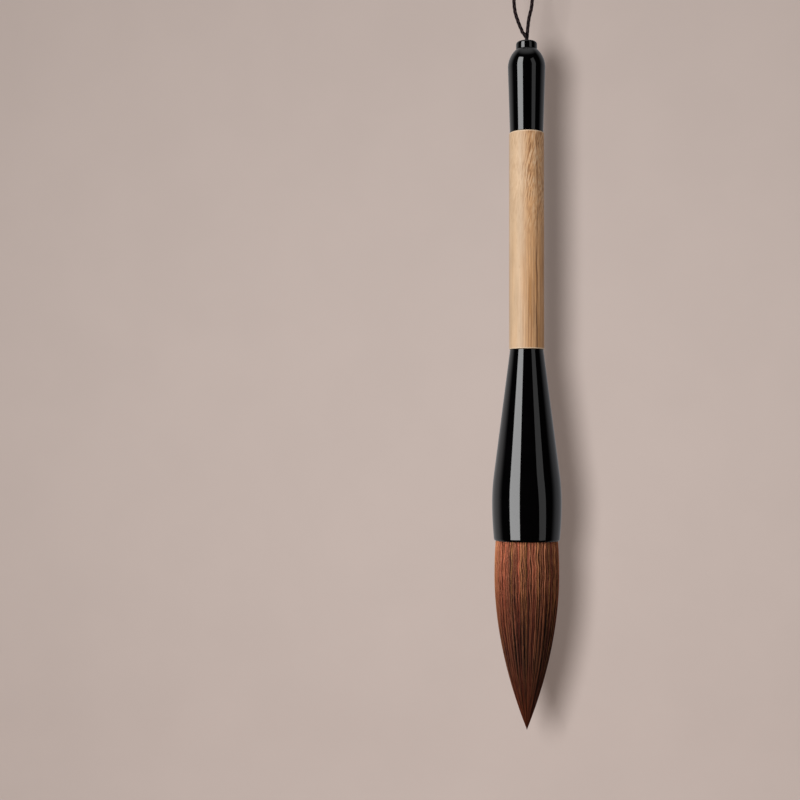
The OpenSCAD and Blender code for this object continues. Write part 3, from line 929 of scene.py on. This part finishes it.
def makeStrands(name, s, steps=25):
    draw = np.random.default_rng(s["seed"])
    count = s["count"]
    column = (count, 1)
    lock = draw.integers(0, locks, column)
    spread = np.clip(draw.normal(0, 0.23, column), -0.55, 0.55)
    start = draw.uniform(-3.6, -1.2, column)
    length = tuftDepth * (1 - 0.46 * draw.uniform(0, 1, column) ** 1.7)
    length = np.minimum(length, tuftDepth - draw.uniform(0.0, 1.5, column))
    thick = draw.uniform(*s["thick"], column)
    own = draw.uniform(0, 2 * math.pi, (count, 2))
    ownWave = draw.uniform(0.01, 0.08, column)
    inset = draw.uniform(0, 0.14, column) + s["deep"] + lockDeep[lock]
    inset += lockSet["groove"] * (spread / 0.5) ** 2
    strayed = (draw.uniform(0, 1, column) > lockSet["stray"]) * draw.uniform(0.3, 1.0, column)
    share = np.linspace(0, 1, steps)
    depth = start + (length - start) * share
    radius = hairRadius(depth)
    slim = unit(radius / tuftShape["belly"])
    crimp = np.exp(-((depth - 12) / 17) ** 2)
    sway = hairSway(lockAngle[lock], depth, lock)
    sway += ownWave * wave(depth, 7.0, own[:, :1]) * slim
    sway += 0.5 * strayed * wave(depth, 30.0, own[:, 1:]) * slim
    sway += 0.07 * crimp * wave(depth, 4.3, own[:, 1:]) * slim
    angle = lockAngle[lock] + spread * lockWidth[lock] + sway / np.maximum(radius, 1.4)
    rise = (s["lift"] + 0.10 * strayed) * np.sin(math.pi * share)
    out = radius - inset * np.sqrt(slim) + rise * slim
    out = np.maximum(out - thick * 0.5, 0.02)
    # a hair is fullest a third of the way down and tapers to its point
    body = np.clip((1 - share) / 0.24, 0.04, 1) ** 0.8 * (0.8 + 0.2 * np.sin(math.pi * share))
    half = thick * 0.5 * body
    # three corners round each hair
    corners = []
    for a in np.radians((90, 210, 330)):
        up = out + half * math.sin(a)
        over = half * lockSet["flatness"] * math.cos(a)
        corners.append(np.stack([up * np.cos(angle) - over * np.sin(angle),
                                 up * np.sin(angle) + over * np.cos(angle), mouth / mm - depth], axis=-1))
    points = np.stack(corners, axis=2) * mm
    grid = np.arange(count * steps * 3).reshape(count, steps, 3)
    turned = np.roll(grid, -1, axis=2)
    walls = np.stack([grid[:, :-1], grid[:, 1:], turned[:, 1:], turned[:, :-1]], axis=-1).reshape(-1, 4)
    ends = np.concatenate([grid[:, 0], grid[:, -1][:, ::-1]])
    paintedSideLight = 0.11 * np.cos(lockAngle[lock] - math.radians(195))  # painted light: the left-front side of the tuft, facing the key lamp, is painted paler
    along = unit(depth / tuftDepth)
    shared = lockTone[lock]
    for broader, start in zip(gatherTone, (0.25, 0.60)):
        gathered = unit((along - start) / 0.25)
        shared = shared * (1 - gathered) + broader[lock] * gathered
    contrast = np.interp(along, (0, 0.12, 0.24, 0.38, 0.52, 0.75), (0.62, 0.92, 1.4, 1.75, 1.55, 1.0))
    shared = 0.5 + (shared - 0.5) * contrast  # even at the root, most varied at the belly
    # painted shade: hairs that lie deeper in the tuft, and those at a lock's edges, which sit down in the
    # grooves, are made darker
    own = 0.40 * draw.uniform(0, 1, column) + 0.02 + paintedSideLight - 0.5 * s["deep"] - 0.25 * (spread / 0.5) ** 2
    tone = unit(0.66 * shared + own)
    hue = unit(0.65 * lockHue[lock] + 0.35 * draw.uniform(0, 1, column))
    values = {
        "tone": np.repeat(tone.ravel(), 3),
        "hue": np.repeat(hue, steps * 3),
        "lock": np.repeat(lock.astype(float), steps * 3),
        "along": np.repeat(along.ravel(), 3),
    }
    return makePiece(name, points.reshape(-1, 3).tolist(), walls.tolist() + ends.tolist(), brushHair,
                     values=values)


def groovedForm(name, outline, shadedBaseTone, sides=300, groove=0.24):
    # a turned form whose surface is cut into locks, with tones stored for the hair material; its low base
    # tone is painted shade of the hair under the loose strands
    turn = ringTurns(sides)
    radius, height = np.array(outline).T[:, :, None]
    apart = (turn[:, None] - lockAngle[None, :] + math.pi) % (2 * math.pi) - math.pi
    nearest = np.argmin(np.abs(apart), axis=1)
    fine = 0.5 + 0.5 * np.sin(turn * 75 + 1.7 * np.sin(height * 0.3 + turn * 5))
    ridge = groove * (0.45 + 0.55 * fine) * np.sqrt(unit(radius / tuftShape["belly"]))
    cut = np.maximum(radius - ridge, 0.0) * (radius > 1e-6)
    flat = np.zeros_like(cut)
    points = np.stack([cut * np.cos(turn), cut * np.sin(turn), height + mouth / mm + flat], axis=-1) * mm
    values = {
        "tone": unit(shadedBaseTone * (0.5 + fine) * (0.7 + 0.6 * lockTone[nearest])).ravel(),
        "hue": (lockHue[nearest] + flat).ravel(),
        "lock": (nearest + flat).ravel(),
        "along": unit(flat - height / tuftDepth).ravel(),
    }
    faces = tubeFaces(*cut.shape, closed=True)
    piece = makePiece(name, points.reshape(-1, 3).tolist(), faces, brushHair, values=values)
    tidy = bmesh.new()
    tidy.from_mesh(piece.data)
    bmesh.ops.remove_doubles(tidy, verts=tidy.verts, dist=1e-7)
    bmesh.ops.dissolve_degenerate(tidy, dist=1e-8, edges=tidy.edges)
    bmesh.ops.recalc_face_normals(tidy, faces=tidy.faces)
    tidy.to_mesh(piece.data)
    tidy.free()
    return piece


layerSet = {"coverThick": 1.6, "coreRadius": 5.2, "cavityTop": 3.2, "gap": 0.06, "tipFrom": 60.0}


def sideOutline(start, end, inset, steps):
    # the hair's own outline between two depths, moved in by inset
    return [(max(float(hairRadius(d)) - inset, 0.0), -d) for d in np.linspace(start, end, steps)]


def makeLayers(s):
    buttTop = (rootHigh.z - mouth) / mm
    threadTop, threadFoot = (threadHigh.z - mouth) / mm, (threadLow.z - mouth) / mm
    butt = tuftShape["butt"]
    waist = butt - 0.95
    under = 0.42
    tipFrom = s["tipFrom"]
    thick = s["coverThick"]
    # cover: bound butt, waist under the thread, then a shell that follows the outside
    cover = (
        [(0, buttTop), (butt - 0.6, buttTop), (butt - 0.25, buttTop - 0.3)]
        + straight((butt - 0.1, buttTop - 0.8), (butt, threadTop + 0.6), 6)
        + straight((waist, threadTop), (waist, threadFoot), 6)
        + straight((butt, threadFoot - 0.6), (butt, 4.2), 4)
        + sideOutline(-4, tipFrom, under, 90)
        + sideOutline(tipFrom, s["cavityTop"] + 0.4, thick, 60)
        + [(float(hairRadius(4.0)) - thick - 0.3, -s["cavityTop"]), (0, -s["cavityTop"])])
    core = s["coreRadius"]
    gap = s["gap"]
    padStart = s["cavityTop"] + 0.15
    padding = (
        [(core + gap, -padStart)] + sideOutline(padStart + 0.5, 44, thick + gap, 50)
        + straight((core + gap, -37.5), (core + gap, -padStart - 0.5), 20))
    coreForm = (
        [(0, -padStart), (core - 0.3, -padStart)]
        + straight((core, -padStart - 0.4), (core, -36), 26)
        + sideOutline(44.2, tipFrom - 0.05, thick + gap, 24)
        + [(0, -tipFrom + 0.05)])
    tip = [(0, -tipFrom)] + sideOutline(tipFrom, tuftDepth, under, 30)
    made = {}
    # the low tones below are painted shade of the hair that lies under the loose strands
    for name, outline, node, tone in (
            ("coverHairBody", cover, "hair_root", 0.30), ("paddingHair", padding, "padding_hair", 0.5),
            ("coreHair", coreForm, "core_hair", 0.4), ("tipHair", tip, "tip_hair", 0.26)):
        made[name] = groovedForm(name, outline, tone)
        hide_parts(node)
    return made


hairPieces = makeLayers(layerSet)
for name, settings in strandSets.items():
    hairPieces[name] = makeStrands(name, settings)
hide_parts("cover_hair")
for piece in hairPieces.values():
    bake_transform(piece)
print("hair made:", sum(len(p.data.polygons) for p in hairPieces.values()), "faces")


# Binding thread; the rosin and the glue keep their CAD forms

threadShape = {"turns": 4, "diameter": 0.84, "plies": 3, "plyTurn": 1.5, "sides": 14, "relief": 0.09}


def makeBinding(s):
    low = threadLow.z / mm + s["diameter"] / 2
    high = threadHigh.z / mm - s["diameter"] / 2
    ringRadius = threadHigh.x / mm - s["diameter"] / 2
    turns = np.linspace(0, s["turns"] - 0.08, 90 * s["turns"])
    climb = low + (high - low) * turns / (s["turns"] - 0.08)
    angle = 2 * math.pi * turns
    line = np.stack([ringRadius * np.cos(angle), ringRadius * np.sin(angle), climb], axis=1) * mm
    line = smoothRoute(line, 0.22 * mm)
    run = distanceAlong(line) / mm
    lay = s["plies"] * (ringTurns(s["sides"]) - 2 * math.pi * run[:, None] / s["plyTurn"]) / 2
    crown = np.abs(np.cos(lay))
    radius = (s["diameter"] / 2 - s["relief"] * (1 - crown)) * mm
    return makePiece("bindingThread", tubePoints(line, radius), tubeFaces(*radius.shape), bindingLinen,
                     values={"crown": crown.ravel()})


bindingThread = makeBinding(threadShape)
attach(bindingThread, "handle")
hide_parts("binding_thread")
for node, material in (("resin_seal", pineRosin), ("socket_glue", hideGlue)):
    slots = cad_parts[node].data.materials
    slots.clear()
    slots.append(material)
print("binding made")


# Stage and light

stageSet = {
    "wallBehind": 0.30, "floorUnder": 0.19, "halfWidth": 0.44, "front": 0.10, "rise": 0.62,
    "bend": 0.12, "paint": (0.49, 0.418, 0.386),
}


def makeStage(s):
    # floor and wall in one sheet with a round corner, seen from the front only
    floor = tipLow.z - s["floorUnder"]
    bend = s["bend"]
    side = [(-s["front"], floor), (s["wallBehind"] - bend, floor)]
    for degrees in range(-80, 1, 10):
        a = math.radians(degrees)
        side.append((s["wallBehind"] - bend + bend * math.cos(a), floor + bend + bend * math.sin(a)))
    side.append((s["wallBehind"], s["rise"]))
    points = []
    for y, z in side:
        points += [(-s["halfWidth"], y, z), (s["halfWidth"], y, z)]
    faces = [[2 * i, 2 * i + 1, 2 * i + 3, 2 * i + 2] for i in range(len(side) - 1)]
    material, tree, shader = newMaterial("studioPaper", s["paint"], **{
        "Roughness": 0.9, "Specular IOR Level": 0.1})
    tone = useGroup(patchyTone, Vector=objectPlace(tree), Size=60.0, Amount=0.012)["Tone"]
    join(shader.inputs, {"Base Color": tint(s["paint"], tone)})
    behind = output(addNode(tree, "NewGeometry"), "Backfacing")
    clear = output(addNode(tree, "BsdfTransparent"))
    oneSided = addNode(tree, "MixShader", {0: behind, 1: output(shader), 2: clear})
    join(tree.nodes["Material Output"].inputs, {"Surface": output(oneSided)})
    paper = makePiece("studioPaper", points, faces, material)
    paper.visible_glossy = False
    return paper


paper = makeStage(stageSet)

# Panels stand upright round the brush. Azimuth 0 is towards the camera, positive to its right.
panels = {
    "keyPanel": {"azimuth": -41, "distance": 0.80, "width": 0.50, "low": -0.50, "high": 0.70,
                 "radiance": 4.8, "lean": 0},
    "dimPanel": {"azimuth": 47, "distance": 0.80, "width": 0.34, "low": -0.56, "high": 0.56,
                 "radiance": 0.50, "lean": 16},
}
lampSet = {"paperPower": 19.4, "paperSize": 0.031, "paperAside": -0.026, "paperUp": 0.006}


def newLamp(name, kind, energy, matrix):
    data = bpy.data.lights.new(name, kind)
    data.energy = energy
    lamp = addObject(name, data)
    lamp.matrix_world = matrix
    lamp.visible_camera = False
    return lamp


def linkOnly(name, lamps, target, state):
    # state INCLUDE lights only the target, EXCLUDE lights everything else
    group = bpy.data.collections.new(name)
    group.objects.link(target)
    group.collection_objects[0].light_linking.link_state = state
    for lamp in lamps:
        lamp.light_linking.receiver_collection = group


def lightStage(s):
    brushLamps = []
    for name, p in panels.items():
        a = math.radians(p["azimuth"])
        out = Vector((math.sin(a), -math.cos(a), 0))
        height = p["high"] - p["low"]
        place = Matrix.Translation(out * p["distance"] + Vector((0, 0, p["low"] + height / 2)))
        facing = (-out).to_track_quat("-Z", "Y").to_matrix().to_4x4()
        lean = Matrix.Rotation(math.radians(p["lean"]), 4, "Z")
        panel = newLamp(name, "AREA", p["radiance"] * math.pi * p["width"] * height, place @ facing @ lean)
        panel.data.shape = "RECTANGLE"
        panel.data.size = p["width"]
        panel.data.size_y = height
        brushLamps.append(panel)
    linkOnly("brushLight", brushLamps, paper, "EXCLUDE")
    # the lamp for the paper stands beside the camera and throws the soft shadow
    place = camera.matrix_world.translation + Vector((s["paperAside"], 0, s["paperUp"]))
    lamp = newLamp("paperLamp", "POINT", s["paperPower"], Matrix.Translation(place))
    lamp.data.shadow_soft_size = s["paperSize"] / 2
    lamp.visible_glossy = False
    linkOnly("paperLight", [lamp], paper, "INCLUDE")


lightStage(lampSet)

worldSet = {"seen": (0.521, 0.423, 0.386), "fill": (0.385, 0.357, 0.34), "behindLeft": (0.37, 0.36, 0.36),
            "behindRight": (0.22, 0.22, 0.23), "above": (0.43, 0.43, 0.43)}


def makeWorld(s):
    # fill light for matt surfaces; gloss sees black in front, pale paper behind and a soft ceiling
    world = bpy.data.worlds.new("studioAir")
    scene.world = world
    world.use_nodes = True
    tree = world.node_tree
    path = wires(addNode(tree, "LightPath").outputs)
    x, y, z = split(output(addNode(tree, "TexCoord"), "Generated"))
    behind = mix(smooth(x, -0.5, 0.5), s["behindLeft"], s["behindRight"])
    gloss = mix(smooth(z, 0.80, 1.0), (0.0, 0.0, 0.0), s["above"])
    gloss = mix(smooth(y, -0.04, 0.45), gloss, behind)
    colour = mix(path["Is Glossy Ray"], s["fill"], gloss)
    colour = mix(path["Is Camera Ray"], colour, s["seen"])
    join(tree.nodes["Background"].inputs, {"Color": colour})


makeWorld(worldSet)
print("stage and light set")
